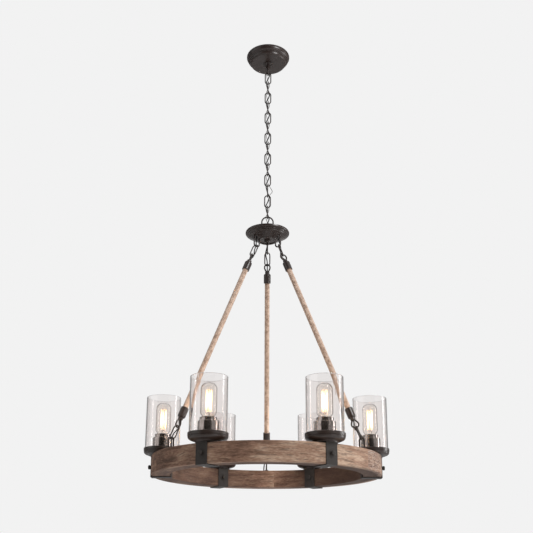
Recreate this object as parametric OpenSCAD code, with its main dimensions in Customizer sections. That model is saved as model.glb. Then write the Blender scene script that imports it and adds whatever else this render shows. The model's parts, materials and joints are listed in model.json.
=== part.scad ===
// Wagon wheel chandelier. A wooden ring with six candle-style lamps hangs by three ropes from a hub, and the
// hub hangs by a chain from a ceiling canopy. Millimetres, +Z up, origin at the centre of the ceiling plane.

/* [Height] */
// Ceiling plane down to the underside of the wooden ring
drop = 1402; // [1300:1:1700]

/* [Canopy] */
// Radius of the canopy's rim
canopy_r = 71; // [66:0.5:80]
// Depth of the canopy
canopy_h = 26; // [24:0.5:36]
// Wall of the canopy and of the hub's cover
sheet = 1.2; // [0.8:0.1:1.6]
// Height of the collar nut under the canopy
collar_h = 9; // [8:0.5:12]
// Width of the canopy's loop, over the wire
loop_w = 24; // [23:0.5:28]
// Wire of the canopy's loop
loop_wire = 5.5; // [4:0.1:5.8]
// Ceiling plane down to where the first link sits in the loop
loop_seat = 62.5; // [62.5:0.5:62.5]

/* [Crossbar] */
// Length of the crossbar
crossbar_len = 110; // [106:1:124]
// Width of the crossbar
crossbar_w = 20; // [18:0.5:24]
// Thickness of the crossbar
crossbar_t = 2; // [1.6:0.1:3]
// Between the middles of the two screw slots
slot_spacing = 80; // [76:0.5:84]
// Length of a slot from end centre to end centre
slot_len = 14; // [10:0.5:16]
// Radius of a slot's round end
slot_r = 2.4; // [2.2:0.1:2.8]

/* [Lamp pipe] */
// Outside diameter of the threaded pipes
pipe_d = 10; // [9.6:0.1:10.4]
// Bore of the threaded pipes
pipe_bore = 6.6; // [6.4:0.1:7]
// Width across the flats of the pipe nuts
pipe_nut_af = 15; // [14:0.5:17]
// Thickness of the pipe nuts
pipe_nut_t = 3; // [2.5:0.1:4]

/* [Chain] */
// Number of links
link_count = 14; // [14:1:14]
// Inside length that each link adds to the chain
link_pitch = 37.5; // [37.5:0.5:37.5]
// Width of a link, over the wire
link_w = 22; // [21:0.5:24]
// Wire of a link
link_wire = 3.6; // [3:0.1:3.7]
// Play between a link and the next one
play = 0.3; // [0.25:0.05:0.4]

/* [Cords] */
// Thickness of the supply cord and the leg wires
cord_d = 3.6; // [3.2:0.1:3.8]
// Thickness of the ground wire
ground_d = 1.6; // [1.2:0.1:1.8]

/* [Hub] */
// Radius of the hub cover's rim
hub_r = 68.6; // [66:0.2:74]
// Depth of the hub's cover
hub_h = 27; // [25:0.5:32]
// Thickness of the hub's plate
plate_t = 3; // [2.5:0.1:4]
// Width of the hub's bow, over the wire
bow_w = 40; // [36:0.5:46]
// Wire of the hub's bow and eyes
bow_wire = 4.4; // [3.6:0.1:4.6]
// Clear height inside the bow
bow_clear = 50; // [44:0.5:56]
// Radius of the circle that the three eyes stand on
eye_circle_r = 38; // [36:0.5:40]
// Width of a hub eye, over the wire
eye_w = 22; // [21:0.5:24]
// How far an eye reaches below the hub's cover
eye_drop = 28.8; // [27:0.2:34]

/* [Ropes] */
// Diameter of the ropes
rope_d = 16; // [14:0.5:17]
// Diameter of the ferrules
ferrule_d = 22; // [21:0.5:26]
// Length of a ferrule
ferrule_len = 30; // [26:0.5:36]
// Depth of rope inside a ferrule
rope_socket = 23; // [18:0.5:24]
// Radius of a rope eye, to the middle of its wire
rope_eye_r = 10; // [9.8:0.1:11]
// Wire of a rope eye
rope_eye_wire = 4.4; // [4:0.1:4.6]
// Radius of the neck between a rope eye and its ferrule
neck_r = 7; // [6:0.2:8]

/* [Wooden ring] */
// Outer radius of the ring
ring_r = 330; // [320:1:360]
// Width of the ring, from its outer face to its inner face
ring_w = 54; // [50:0.5:64]
// Height of the ring
ring_h = 54; // [50:0.5:64]
// Radius of the worn edges
edge_r = 2.5; // [1.5:0.5:4]
// Radius of the circle that the three ring eyes stand on
ring_eye_circle_r = 300; // [296:1:304]
// Ring top up to the top of a ring eye
ring_eye_h = 38; // [34:0.5:44]
// Width of a ring eye, over the wire
ring_eye_w = 19; // [17:0.5:20]
// Wire of a ring eye
ring_eye_wire = 4.6; // [4.2:0.1:5]
// Width of the wiring groove in the underside
groove_w = 12; // [10:0.5:16]
// Depth of the wiring groove
groove_h = 15; // [12:0.5:18]
// Thickness of the strip that closes the groove
strip_t = 3; // [2:0.5:4]

/* [Straps] */
// Width of a strap
strap_w = 34; // [28:0.5:40]
// Thickness of a strap
strap_t = 2.4; // [2:0.1:3]
// Diameter of a strap screw's head
head_d = 12.5; // [11:0.5:14]
// Length of a strap screw inside the wood
screw_grip = 18; // [14:0.5:20]

/* [Dishes] */
// Radius of a dish's rim
dish_r = 53.5; // [53:0.5:60]
// Height of a dish
dish_h = 25.5; // [24:0.5:30]
// Radius of a dish's foot
dish_foot_r = 33; // [31:0.5:38]
// Wall of a dish
dish_wall = 1.8; // [1.4:0.1:2]

/* [Glass shades] */
// Outside radius of a shade
glass_r = 50.3; // [48:0.1:50.6]
// Wall of a shade
glass_wall = 2.6; // [2:0.1:3]
// Height of a shade
glass_h = 160; // [150:1:190]

/* [Sockets and bulbs] */
// Radius of a socket cup
cup_r = 28.5; // [26:0.5:31]
// Height of a socket cup up to its shoulder
cup_h = 54; // [50:0.5:60]
// Radius of the cup's upper ring
collar_r = 23; // [22:0.5:25]
// Height of the cup's upper ring
collar_rise = 10; // [8:0.5:12]
// Wall of a socket cup
cup_wall = 1.2; // [1:0.1:1.5]
// Outside radius of a lampholder
holder_r = 19.5; // [18:0.5:20.5]
// Radius of a bulb's screw cap
cap_r = 13.1; // [12.8:0.1:13.4]
// Height of a bulb's screw cap
cap_h = 26; // [24:0.5:28]
// Radius of a bulb's tube
bulb_r = 22; // [19:0.5:24]
// Cap's top edge up to the bulb's top
bulb_h = 99; // [90:1:110]
// Wall of the bulb's glass
bulb_wall = 1; // [0.8:0.1:1.2]

/* [Hidden] */
LINKS = [for (k = [1:link_count]) str("link_", k < 10 ? "0" : "", k)];
SHADES = [for (i = [1:6]) str("glass_shade_", i)];
ROPES = ["rope_rear", "rope_left", "rope_right"];

$fn = 64;
bronze = [0.20, 0.17, 0.15];
gunmetal = [0.30, 0.31, 0.33];
brass = [0.72, 0.60, 0.36];
wood = [0.45, 0.34, 0.27];
jute = [0.76, 0.60, 0.46];
black = [0.07, 0.07, 0.07];
green = [0.15, 0.45, 0.22];
clear = [0.85, 0.90, 0.92, 0.35];
porcelain = [0.93, 0.91, 0.86];
glow = [1.00, 0.80, 0.45];

lamp_angles = [0:60:300];
leg_angles = [90, 210, 330];
slip = 0.2;
thread_slip = 0.1;
wire_room = 1.2;
weld = 0.1;

// Chain: where link k sits in the piece above it, and the middle lines of a link
link_half = (link_w - link_wire) / 2;
loop_half = (loop_w - loop_wire) / 2;
chain_end = -loop_seat - link_count * link_pitch;
function seat_z(k) = -loop_seat - (k - 1) * link_pitch;
link_len = link_pitch + play + link_wire;

// Hub heights
bow_half = (bow_w - bow_wire) / 2;
bow_top = chain_end + play + bow_wire / 2;
plate_top = chain_end + play - bow_clear;
cover_top = plate_top - plate_t;
cover_bottom = cover_top - hub_h;
cover_face = cover_bottom + 2.2;
eye_half = (eye_w - bow_wire) / 2;
eye_low = cover_bottom - eye_drop + bow_wire / 2;
stud_rise = 5.5;
small_nut_af = 8;
small_nut_t = 3.2;
hub_window_w = 5;
hub_window_h = 12;

// Ring heights
ring_bottom = -drop;
ring_top = ring_bottom + ring_h;
ring_in_r = ring_r - ring_w;
ring_mid_r = ring_r - ring_w / 2;
ring_eye_half = (ring_eye_w - ring_eye_wire) / 2;
ring_eye_top = ring_top + ring_eye_h - ring_eye_wire / 2;
ring_eye_flange_h = 4;
ring_eye_flange_r = 6;
ring_eye_shank = 26;
ring_eye_shank_r = 2.8;
groove_roof = ring_bottom + groove_h;

// Legs: each pulls straight from the middle of a hub eye's bend to the middle of a ring eye's bend
eye_bend_z = eye_low + eye_half;
ring_bend_z = ring_eye_top - ring_eye_half;
leg_run = ring_eye_circle_r - eye_circle_r;
leg_fall = eye_bend_z - ring_bend_z;
leg_len = norm([leg_run, leg_fall]) - eye_half - ring_eye_half;
leg_tilt = atan2(leg_run, leg_fall);
hub_link_top = (bow_wire + link_wire) / 2 + play;
ring_link_top = (ring_eye_wire + link_wire) / 2 + play;
rope_eye_in = (rope_eye_wire + link_wire) / 2 + play;
hub_rope_eye = link_len - hub_link_top - rope_eye_in;
ring_rope_eye = link_len - ring_link_top - rope_eye_in;
teardrop = 3 * rope_eye_r;
neck_len = 6;
neck_taper = 2.5;
link_turn = 120;
hub_rope_eye_turn = 60;
ring_rope_eye_turn = 30;

// Lamps, from the strap's top upwards
strap_top = ring_top + slip + strap_t;
cup_floor = strap_top + dish_wall;
cup_top = cup_floor + cup_h;
ledge_z = strap_top + 15;
glass_bottom = ledge_z + slip;
glass_top = glass_bottom + glass_h;
holder_bottom = cup_floor + cup_wall + pipe_nut_t + 1;
cap_top = cup_top + 4;
holder_top = cap_top;
cap_bottom = cap_top - cap_h;
holder_well = cap_bottom - 4;
pipe_in_wood = 20;
pipe_in_holder = 6;
bulb_top = cap_top + bulb_h;

function arc(x, z, r, from, to, steps = 8) =
    [for (i = [0:steps]) let (a = from + (to - from) * i / steps) [x + r * cos(a), z + r * sin(a)]];
function reversed(list) = [for (i = [len(list) - 1:-1:0]) list[i]];
// The inner side of a sheet-metal outline: one wall further in and one wall further up
function inside(outline, wall, r_min, z_max) =
    [for (p = outline) [max(p[0] - wall, r_min), min(p[1] + wall, z_max)]];

module sheet_metal(outer, inner) {
    rotate_extrude($fn = 120) polygon(concat(outer, reversed(inner)));
}

module tube(r_out, r_in, h) {
    difference() {
        cylinder(r = r_out, h = h);
        translate([0, 0, -1]) cylinder(r = r_in, h = h + 2);
    }
}

module hex_nut(af, t, bore_r) {
    difference() {
        cylinder(d = af / cos(30), h = t, $fn = 6);
        translate([0, 0, -1]) cylinder(r = bore_r, h = t + 2);
    }
}

// A half turn of round wire in the XZ plane: side 1 bends over the top, side -1 under the bottom
module bend(half, wire, side = 1, sweep = 180) {
    rotate([side * 90, 0, 0])
        rotate_extrude(angle = sweep)
            translate([half, 0])
                circle(d = wire, $fn = 32);
}

// An oval loop of round wire in the XZ plane, given by the middle of its wire
module wire_loop(half, top, bottom, wire) {
    translate([0, 0, top - half]) bend(half, wire);
    translate([0, 0, bottom + half]) bend(half, wire, -1);
    for (side = [-1, 1])
        translate([side * half, 0, bottom + half])
            cylinder(d = wire, h = top - bottom - 2 * half, $fn = 32);
}

module pipe_nut() {
    hex_nut(pipe_nut_af, pipe_nut_t, pipe_d / 2 + thread_slip);
}

module small_nut() {
    hex_nut(small_nut_af, small_nut_t, bow_wire / 2 + thread_slip);
}

// The drilled hole for a threaded pipe, and the wider one that a pipe passes through freely
module pipe_thread(h) {
    cylinder(d = pipe_d + 2 * thread_slip, h = h);
}

module pipe_hole(h) {
    cylinder(d = pipe_d + 2 * slip, h = h);
}

module wire_hole(h) {
    cylinder(d = cord_d + wire_room, h = h, $fn = 32);
}

module on_lamps() {
    for (a = lamp_angles) rotate([0, 0, a]) translate([ring_mid_r, 0, 0]) children();
}

// A leg's own frame: local -Z runs down the leg from the hub eye's wire, local X points outwards
module on_leg(a) {
    rotate([0, 0, a]) translate([eye_circle_r, 0, eye_bend_z]) rotate([0, -leg_tilt, 0])
        translate([0, 0, -eye_half]) children();
}

// The same frame turned end for end, so that local -Z runs up the leg from the ring eye's wire
module on_leg_foot(a) {
    on_leg(a) translate([0, 0, -leg_len]) mirror([0, 0, 1]) children();
}

// ---- Cords: a round tube swept along chosen points ----
cord_sides = 8;
// Supply cord, woven through the links: it passes each link's end on one side and the next on the other
supply_points = [
    [-1.2, 0, -2], [-1.2, 0, -24], [-1.2, 0, -44], [0.5, 3, -53],
    [5, 5, -62.5], [1.5, -1.5, -81], [-5, -5, -100], [-1.5, 1.5, -119],
    [5, 5, -137.5], [1.5, -1.5, -156], [-5, -5, -175], [-1.5, 1.5, -194],
    [5, 5, -212.5], [1.5, -1.5, -231], [-5, -5, -250], [-1.5, 1.5, -269],
    [5, 5, -287.5], [1.5, -1.5, -306], [-5, -5, -325], [-1.5, 1.5, -344],
    [5, 5, -362.5], [1.5, -1.5, -381], [-5, -5, -400], [-1.5, 1.5, -419],
    [5, 5, -437.5], [1.5, -1.5, -456], [-5, -5, -475], [-1.5, 1.5, -494],
    [5, 5, -512.5], [1.5, -1.5, -531], [-5, -5, -550], [-1.5, 1.5, -569],
    [5, 5, -587.5], [1, 3, -604], [-1.2, 0, -620], [-1.2, 0, -636], [-1.2, 0, -650]];
// Ground wire: on the other side at each link's end, with one slack bow beside link 12
ground_points = [
    [2.1, 0, -2], [2.1, 0, -24], [2.1, 0, -44], [-0.5, -3.5, -53],
    [-5, -5, -62.5], [-2.5, 2.5, -81], [5, 5, -100], [2.5, -2.5, -119],
    [-5, -5, -137.5], [-2.5, 2.5, -156], [5, 5, -175], [2.5, -2.5, -194],
    [-5, -5, -212.5], [-2.5, 2.5, -231], [5, 5, -250], [2.5, -2.5, -269],
    [-5, -5, -287.5], [-2.5, 2.5, -306], [5, 5, -325], [2.5, -2.5, -344],
    [-5, -5, -362.5], [-2.5, 2.5, -381], [5, 5, -400], [2.5, -2.5, -419],
    [-5, -5, -437.5], [-2.5, 2.5, -456], [6, 5, -475], [15, 3, -494],
    [6, -5, -512.5], [5.5, 0, -531], [5, 5, -550], [2.5, -2.5, -569],
    [-5, -5, -587.5], [-1, -3, -604], [2.1, 0, -620], [2.1, 0, -636], [2.1, 0, -650]];
// Leg wire, in the leg's frame: out of the hub, past the link and down the rope eye's hollow neck
leg_head_points = [
    [12, 0, 37], [8.5, 0, 28], [5.5, 3, 14], [3, 5.5, 2], [1, 4, -9], [-2, 1, -20],
    [-5.5, 0, -29], [-6, 0, -36], [-4, 0, -43], [0, 0, -51], [0, 0, -60]];
// The same wire's lower end, in the leg's frame turned end for end, and its drop into the ring
leg_foot_points = [
    [0, 0, -60], [0, 0, -51], [-3.5, 1.5, -43], [-6.5, 2, -35], [-4, 3, -27], [0, 4, -18],
    [2, 5, -9], [3, 6, 2]];

function unit(v) = v / norm(v);
function curve(p, i, t) =
    let (a = p[max(i - 1, 0)], b = p[i], c = p[i + 1], d = p[min(i + 2, len(p) - 1)])
    0.5 * (2 * b + (c - a) * t + (2 * a - 5 * b + 4 * c - d) * t * t + (3 * b - a - 3 * c + d) * t * t * t);
function route(p, steps) =
    concat([for (i = [0:len(p) - 2], s = [0:steps - 1]) curve(p, i, s / steps)], [p[len(p) - 1]]);
function heading(p, i) = unit(p[min(i + 1, len(p) - 1)] - p[max(i - 1, 0)]);
function across(p, i) = unit(cross(heading(p, i), [0, 1, 0]));
function ring_point(p, i, s, r) =
    let (u = across(p, i), v = cross(heading(p, i), u), a = 360 * s / cord_sides)
    p[i] + r * (cos(a) * u + sin(a) * v);

module swept(p, d) {
    n = cord_sides;
    last = len(p) - 1;
    points = [for (i = [0:last], s = [0:n - 1]) ring_point(p, i, s, d / 2)];
    sides = [for (i = [0:last - 1], s = [0:n - 1])
        [i * n + s, (i + 1) * n + s, (i + 1) * n + (s + 1) % n, i * n + (s + 1) % n]];
    ends = [[for (s = [0:n - 1]) s], [for (s = [n - 1:-1:0]) last * n + s]];
    polyhedron(points, concat(sides, ends));
}

// ---- Ceiling ----
module crossbar() {
    color(gunmetal) difference() {
        translate([-crossbar_len / 2, -crossbar_w / 2, -crossbar_t])
            cube([crossbar_len, crossbar_w, crossbar_t]);
        translate([0, 0, -crossbar_t - 1]) pipe_thread(crossbar_t + 2);
        translate([ground_x, 0, -crossbar_t - 1]) cylinder(r = ground_hole_r, h = crossbar_t + 2);
        for (side = [-1, 1]) translate([side * slot_spacing / 2, 0, -crossbar_t - 1]) {
            for (end = [-1, 1])
                translate([end * slot_len / 2, 0, 0]) cylinder(r = slot_r, h = crossbar_t + 2);
            translate([-slot_len / 2, -slot_r, 0]) cube([slot_len, 2 * slot_r, crossbar_t + 2]);
        }
    }
}

ground_x = 20;
ground_hole_r = 2;
ground_head_r = 4.2;
ground_head_h = 2.6;
ground_shank = 6;
module ground_screw() {
    driver_slot = 1;
    color(green) translate([ground_x, 0, -crossbar_t]) {
        translate([0, 0, -ground_shank])
            cylinder(r = ground_hole_r - thread_slip, h = ground_shank + crossbar_t - 0.5);
        difference() {
            translate([0, 0, -ground_head_h]) cylinder(r = ground_head_r, h = ground_head_h);
            translate([-ground_head_r - 1, -driver_slot / 2, -ground_head_h - 1])
                cube([2 * ground_head_r + 2, driver_slot, 1 + ground_head_h / 3]);
        }
    }
}

pipe_end = -canopy_h - collar_h - 5;
module ceiling_pipe() {
    color(gunmetal) translate([0, 0, pipe_end]) tube(pipe_d / 2, pipe_bore / 2, -pipe_end - 0.5);
}

module ceiling_pipe_nuts() {
    color(gunmetal) {
        translate([0, 0, -crossbar_t - pipe_nut_t]) pipe_nut();
        translate([0, 0, -canopy_h + sheet]) pipe_nut();
    }
}

// Rim band, domed shoulder, a small step, then a rounded edge to the flat face
canopy_curl = 65;
canopy_outline = concat(
    [[canopy_r, 0], [canopy_r, -3]],
    arc(canopy_r - 14, -3.8, 12.4, 0, -canopy_curl),
    [[canopy_r - 9.6, -16.4], [canopy_r - 11.4, -17.2]],
    arc(canopy_r - 18, -canopy_h + 6.4, 6.4, -5, -90, 6),
    [[pipe_d / 2 + slip, -canopy_h]]);
module canopy() {
    color(bronze) sheet_metal(canopy_outline, inside(canopy_outline, sheet, pipe_d / 2 + slip, 0));
}

// The loop's wire runs through a tapped boss, and the collar above it has a bead and a cone down to it
boss_r = 7.5;
boss_h = 8.5;
collar_top_r = 15.4;
collar_bead = 1.4;
collar_outline = concat(
    [[pipe_d / 2 + thread_slip, 0], [collar_top_r - collar_bead / 3, 0]],
    arc(collar_top_r - collar_bead, -collar_bead, collar_bead, 60, -60, 4),
    [[boss_r + 3.5, -collar_h / 2], [boss_r + 1.5, -collar_h], [pipe_d / 2 + thread_slip, -collar_h]]);
module canopy_collar() {
    color(bronze) translate([0, 0, -canopy_h]) rotate_extrude() polygon(collar_outline);
}

module canopy_loop() {
    boss_top = -canopy_h - collar_h;
    color(bronze) difference() {
        union() {
            rotate([0, 0, 90])
                wire_loop(loop_half, boss_top - boss_h / 2, -loop_seat - loop_wire / 2, loop_wire);
            translate([0, 0, boss_top - boss_h]) cylinder(r = boss_r, h = boss_h);
        }
        translate([0, 0, boss_top - boss_h - 1]) cylinder(d = pipe_bore, h = boss_h + 2);
        translate([0, 0, pipe_end - slip]) pipe_thread(boss_top - pipe_end + slip + 1);
    }
}

module supply_cord() {
    color(black) swept(route(supply_points, 2), cord_d);
}

module ground_wire() {
    color(brass) swept(route(ground_points, 2), ground_d);
}

// ---- Chain: odd links face the front, even links stand across them ----
module link(k) {
    top = seat_z(k) + play + link_wire / 2;
    color(bronze) rotate([0, 0, k % 2 == 1 ? 0 : 90])
        wire_loop(link_half, top, top - link_len, link_wire);
}

// ---- Hub ----
module hub_bow() {
    stud_end = cover_top - small_nut_t - 1.5;
    color(bronze) {
        translate([0, 0, bow_top - bow_half]) bend(bow_half, bow_wire);
        for (side = [-1, 1])
            translate([side * bow_half, 0, stud_end])
                cylinder(d = bow_wire, h = bow_top - bow_half - stud_end, $fn = 32);
    }
}

module stud_places() {
    for (side = [-1, 1]) translate([side * bow_half, 0, 0]) children();
    for (a = leg_angles, side = [-1, 1])
        rotate([0, 0, a]) translate([eye_circle_r + side * eye_half, 0, 0]) children();
}

module hub_plate() {
    color(bronze) difference() {
        translate([0, 0, cover_top]) cylinder(r = hub_r - 1.5, h = plate_t, $fn = 120);
        translate([0, 0, cover_top - 1]) pipe_thread(plate_t + 2);
        translate([0, 0, cover_top - 1]) stud_places() cylinder(d = bow_wire + 2 * slip, h = plate_t + 2);
    }
}

// Rolled rim, two shallow steps, a cone, then a flat ring round a recessed face
face_r = 25.4;
hub_curl = 80;
hub_side = concat(
    [[hub_r, cover_top], [hub_r, cover_top - 0.8]],
    arc(hub_r - 3.4, cover_top - 1.6, 3.4, 0, -hub_curl, 5),
    [[hub_r - 6.5, cover_top - 5.4], [hub_r - 7.4, cover_top - 7.6],
     [hub_r - 11.4, cover_top - 8.8], [hub_r - 12.4, cover_top - 11.2],
     [hub_r - 20, cover_top - 14]],
    [[33, cover_bottom + 3.4]],
    arc(face_r + 3.6, cover_bottom + 2, 2, 0, -90, 4));
hub_face = [[face_r, cover_bottom], [face_r - 0.4, cover_face], [pipe_d / 2 + slip, cover_face]];
hub_face_inner = [
    [face_r + sheet, cover_bottom + sheet], [face_r + sheet - 0.4, cover_face + sheet],
    [pipe_d / 2 + slip, cover_face + sheet]];
module hub_cover() {
    color(bronze) difference() {
        sheet_metal(
            concat(hub_side, hub_face),
            concat(inside(hub_side, sheet, pipe_d / 2 + slip, cover_top), hub_face_inner));
        for (a = leg_angles) rotate([0, 0, a]) translate([eye_circle_r, 0, cover_bottom - 1]) {
            for (side = [-1, 1])
                translate([side * eye_half, 0, 0]) cylinder(d = bow_wire + 2 * slip, h = hub_h);
            wire_hole(hub_h);
        }
    }
}

hub_pipe_end = cover_face - 5;
module hub_pipe() {
    top = plate_top + pipe_nut_t + 2;
    color(gunmetal) difference() {
        translate([0, 0, hub_pipe_end]) tube(pipe_d / 2, pipe_bore / 2, top - hub_pipe_end);
        translate([0, -hub_window_w / 2, cover_top - pipe_nut_t - 2 - hub_window_h])
            cube([pipe_d, hub_window_w, hub_window_h]);
    }
}

module hub_nuts() {
    color(gunmetal) {
        for (z = [plate_top, cover_top - pipe_nut_t])
            translate([0, 0, z]) pipe_nut();
        translate([0, 0, plate_top]) stud_places() small_nut();
        for (side = [-1, 1])
            translate([side * bow_half, 0, cover_top - small_nut_t]) small_nut();
    }
}

// A flanged, domed nut with a ball tip, screwed on the lower end of the hub's pipe
finial_r = 10.5;
finial_dome = 7.5;
finial_ball_r = 4.6;
module hub_finial() {
    flange = 1;
    outline = concat(
        [[0, 0], [finial_r, 0], [finial_r, -flange]],
        arc(finial_r - 1 - finial_dome, -flange, finial_dome, 0, -75, 6),
        arc(0, -finial_dome - finial_ball_r - 0.6, finial_ball_r, 40, -90, 8));
    color(bronze) translate([0, 0, cover_face]) difference() {
        rotate_extrude() polygon(outline);
        translate([0, 0, hub_pipe_end - cover_face - 0.4]) pipe_thread(6);
    }
}

module hub_eyes() {
    color(bronze) for (a = leg_angles) rotate([0, 0, a]) translate([eye_circle_r, 0, 0]) {
        translate([0, 0, eye_bend_z]) bend(eye_half, bow_wire, -1);
        for (side = [-1, 1]) translate([side * eye_half, 0, eye_bend_z])
            cylinder(d = bow_wire, h = plate_top + stud_rise - eye_bend_z, $fn = 32);
    }
}

// ---- Legs ----
module leg_link(top) {
    rotate([0, 0, link_turn]) wire_loop(link_half, top, top - link_len, link_wire);
}

module leg_links() {
    color(bronze) for (a = leg_angles) {
        on_leg(a) leg_link(hub_link_top);
        on_leg_foot(a) leg_link(ring_link_top);
    }
}

// A teardrop eye: three quarters of a ring, two straight sides and a hollow neck for the wire
module rope_eye(depth, turn) {
    slant = 30;
    side_len = rope_eye_r / tan(slant) - 6;
    translate([0, 0, -depth - rope_eye_r]) rotate([0, 0, turn]) difference() {
        union() {
            rotate([0, slant, 0]) bend(rope_eye_r, rope_eye_wire, 1, 180 + 2 * slant);
            for (side = [-1, 1])
                translate([side * rope_eye_r * cos(slant), 0, -rope_eye_r * sin(slant)])
                    rotate([0, side * slant, 0]) translate([0, 0, -side_len])
                        cylinder(d = rope_eye_wire + 2 * weld, h = side_len + 2 * weld, $fn = 32);
            translate([0, 0, -(teardrop - rope_eye_r)]) cylinder(r = neck_r, h = neck_len);
            translate([0, 0, -(teardrop - rope_eye_r) + neck_len])
                cylinder(r1 = neck_r, r2 = rope_eye_wire, h = neck_taper, $fn = 64);
        }
        translate([0, 0, -teardrop]) wire_hole(2 * rope_eye_r);
    }
}

module rope_eyes() {
    color(bronze) for (a = leg_angles) {
        on_leg(a) rope_eye(hub_rope_eye, hub_rope_eye_turn);
        on_leg_foot(a) rope_eye(ring_rope_eye, ring_rope_eye_turn);
    }
}

// A turned cap with a rounded shoulder, open at the rope's end
module ferrule(depth) {
    r = ferrule_d / 2;
    shoulder = 4;
    translate([0, 0, -depth - ferrule_len]) difference() {
        rotate_extrude() polygon(concat(
            [[0, 0], [r - 0.6, 0], [r, 0.6]],
            arc(r - shoulder, ferrule_len - shoulder, shoulder, 0, 90, 6),
            [[0, ferrule_len]]));
        translate([0, 0, -1]) cylinder(d = rope_d + slip, h = rope_socket + 1);
        wire_hole(ferrule_len + 1);
    }
}

hub_ferrule = hub_rope_eye + teardrop + thread_slip;
ring_ferrule = ring_rope_eye + teardrop + thread_slip;
module ferrules() {
    color(bronze) for (a = leg_angles) {
        on_leg(a) ferrule(hub_ferrule);
        on_leg_foot(a) ferrule(ring_ferrule);
    }
}

module rope(i) {
    from = hub_ferrule + ferrule_len - rope_socket + slip;
    to = leg_len - ring_ferrule - ferrule_len + rope_socket - slip;
    color(jute) on_leg(leg_angles[i]) translate([0, 0, -to]) tube(rope_d / 2, cord_d / 2 + slip, to - from);
}

// The foot's points in the leg's frame, then straight down beside the ring eye into the groove
foot_in_leg = [for (p = leg_foot_points) [p[0], p[1], -leg_len - p[2]]];
function to_leg(r, t, z) =
    let (x = r - eye_circle_r, y = z - eye_bend_z)
    [x * cos(leg_tilt) + y * sin(leg_tilt), t, y * cos(leg_tilt) - x * sin(leg_tilt) + eye_half];
leg_hole = [ring_mid_r, 9];
leg_wire_tail = [
    to_leg(leg_hole[0], leg_hole[1] - 1, ring_top + 16),
    to_leg(leg_hole[0], leg_hole[1], ring_top),
    to_leg(leg_hole[0], leg_hole[1], groove_roof - 3)];
module leg_wires() {
    points = concat(route(leg_head_points, 2), route(concat(foot_in_leg, leg_wire_tail), 2));
    color(black) for (a = leg_angles) on_leg(a) swept(points, cord_d);
}

module ring_eyes() {
    color(bronze) for (a = leg_angles) rotate([0, 0, a]) translate([ring_eye_circle_r, 0, 0]) {
        wire_loop(ring_eye_half, ring_eye_top, ring_top + ring_eye_flange_h + 1, ring_eye_wire);
        translate([0, 0, ring_top]) cylinder(r = ring_eye_flange_r, h = ring_eye_flange_h);
        translate([0, 0, ring_top - ring_eye_shank]) cylinder(r = ring_eye_shank_r, h = ring_eye_shank + 1);
    }
}

// ---- Wooden ring ----
wood_outline = concat(
    arc(ring_r - edge_r, ring_bottom + edge_r, edge_r, -90, 0, 4),
    arc(ring_r - edge_r, ring_top - edge_r, edge_r, 0, 90, 4),
    arc(ring_in_r + edge_r, ring_top - edge_r, edge_r, 90, 180, 4),
    arc(ring_in_r + edge_r, ring_bottom + edge_r, edge_r, 180, 270, 4));
screw_z = ring_bottom + ring_h / 2;
module wheel_ring() {
    color(wood) difference() {
        rotate_extrude($fn = 180) polygon(wood_outline);
        rotate_extrude($fn = 180)
            translate([ring_mid_r - groove_w / 2, ring_bottom - 1]) square([groove_w, groove_h + 1]);
        on_lamps() {
            translate([0, 0, groove_roof - 1]) wire_hole(ring_h);
            translate([0, 0, ring_top - pipe_in_wood]) pipe_thread(pipe_in_wood + 1);
            for (side = [-1, 1]) translate([side * (ring_w / 2 - screw_grip - 1), 0, screw_z])
                rotate([0, side * 90, 0]) cylinder(r = screw_r + thread_slip, h = screw_grip + 5);
        }
        for (a = leg_angles) rotate([0, 0, a]) {
            translate([ring_eye_circle_r, 0, ring_top - ring_eye_shank - 1])
                cylinder(r = ring_eye_shank_r + thread_slip, h = ring_eye_shank + 2);
            translate([leg_hole[0], leg_hole[1], groove_roof - 1]) wire_hole(ring_h);
        }
    }
}

module groove_strip() {
    color(wood) rotate_extrude($fn = 180)
        translate([ring_mid_r - groove_w / 2 + slip, ring_bottom]) square([groove_w - 2 * slip, strip_t]);
}

harness_d = 3;
harness_z = ring_bottom + strip_t + 2.5;
module ring_harness() {
    color(black) {
        rotate_extrude($fn = 180) translate([ring_mid_r, harness_z]) circle(d = harness_d, $fn = 32);
        on_lamps() translate([0, 0, harness_z])
            cylinder(d = harness_d - 0.6, h = holder_bottom + pipe_in_holder - 1 - harness_z, $fn = 32);
    }
}

// A flat iron band round the ring's section, with holes for the screws and the lamp's pipe
module straps() {
    gap = slip;
    color(bronze) difference() {
        intersection() {
            rotate_extrude($fn = 180) difference() {
                translate([ring_in_r - gap - strap_t, ring_bottom - gap - strap_t])
                    square([ring_w + 2 * (gap + strap_t), ring_h + 2 * (gap + strap_t)]);
                translate([ring_in_r - gap, ring_bottom - gap]) square([ring_w + 2 * gap, ring_h + 2 * gap]);
            }
            on_lamps() translate([-ring_w, -strap_w / 2, ring_bottom - ring_h / 2])
                cube([2 * ring_w, strap_w, 2 * ring_h]);
        }
        on_lamps() {
            translate([0, 0, ring_top - 1]) pipe_hole(10);
            for (side = [-1, 1]) translate([side * (ring_w / 2 - 5), 0, screw_z])
                rotate([0, side * 90, 0]) cylinder(r = screw_r + slip, h = 15);
        }
    }
}

// A lag screw with a narrow neck and a round knob for a head, along +Z
screw_r = 2.5;
module knob_screw() {
    out = slip + strap_t + 0.5;
    head = head_d / 2;
    rotate_extrude($fn = 48) polygon(concat(
        [[0, -screw_grip], [screw_r - 1, -screw_grip], [screw_r, -screw_grip + 3], [screw_r, out],
         [3.8, out], [3.8, out + 2]],
        arc(head - 1.2, out + 3.4, 1.2, -90, 0, 4),
        arc(head - 2.4, out + 6.2, 2.4, 0, 90, 5),
        [[0, out + 8.9]]));
}

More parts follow.
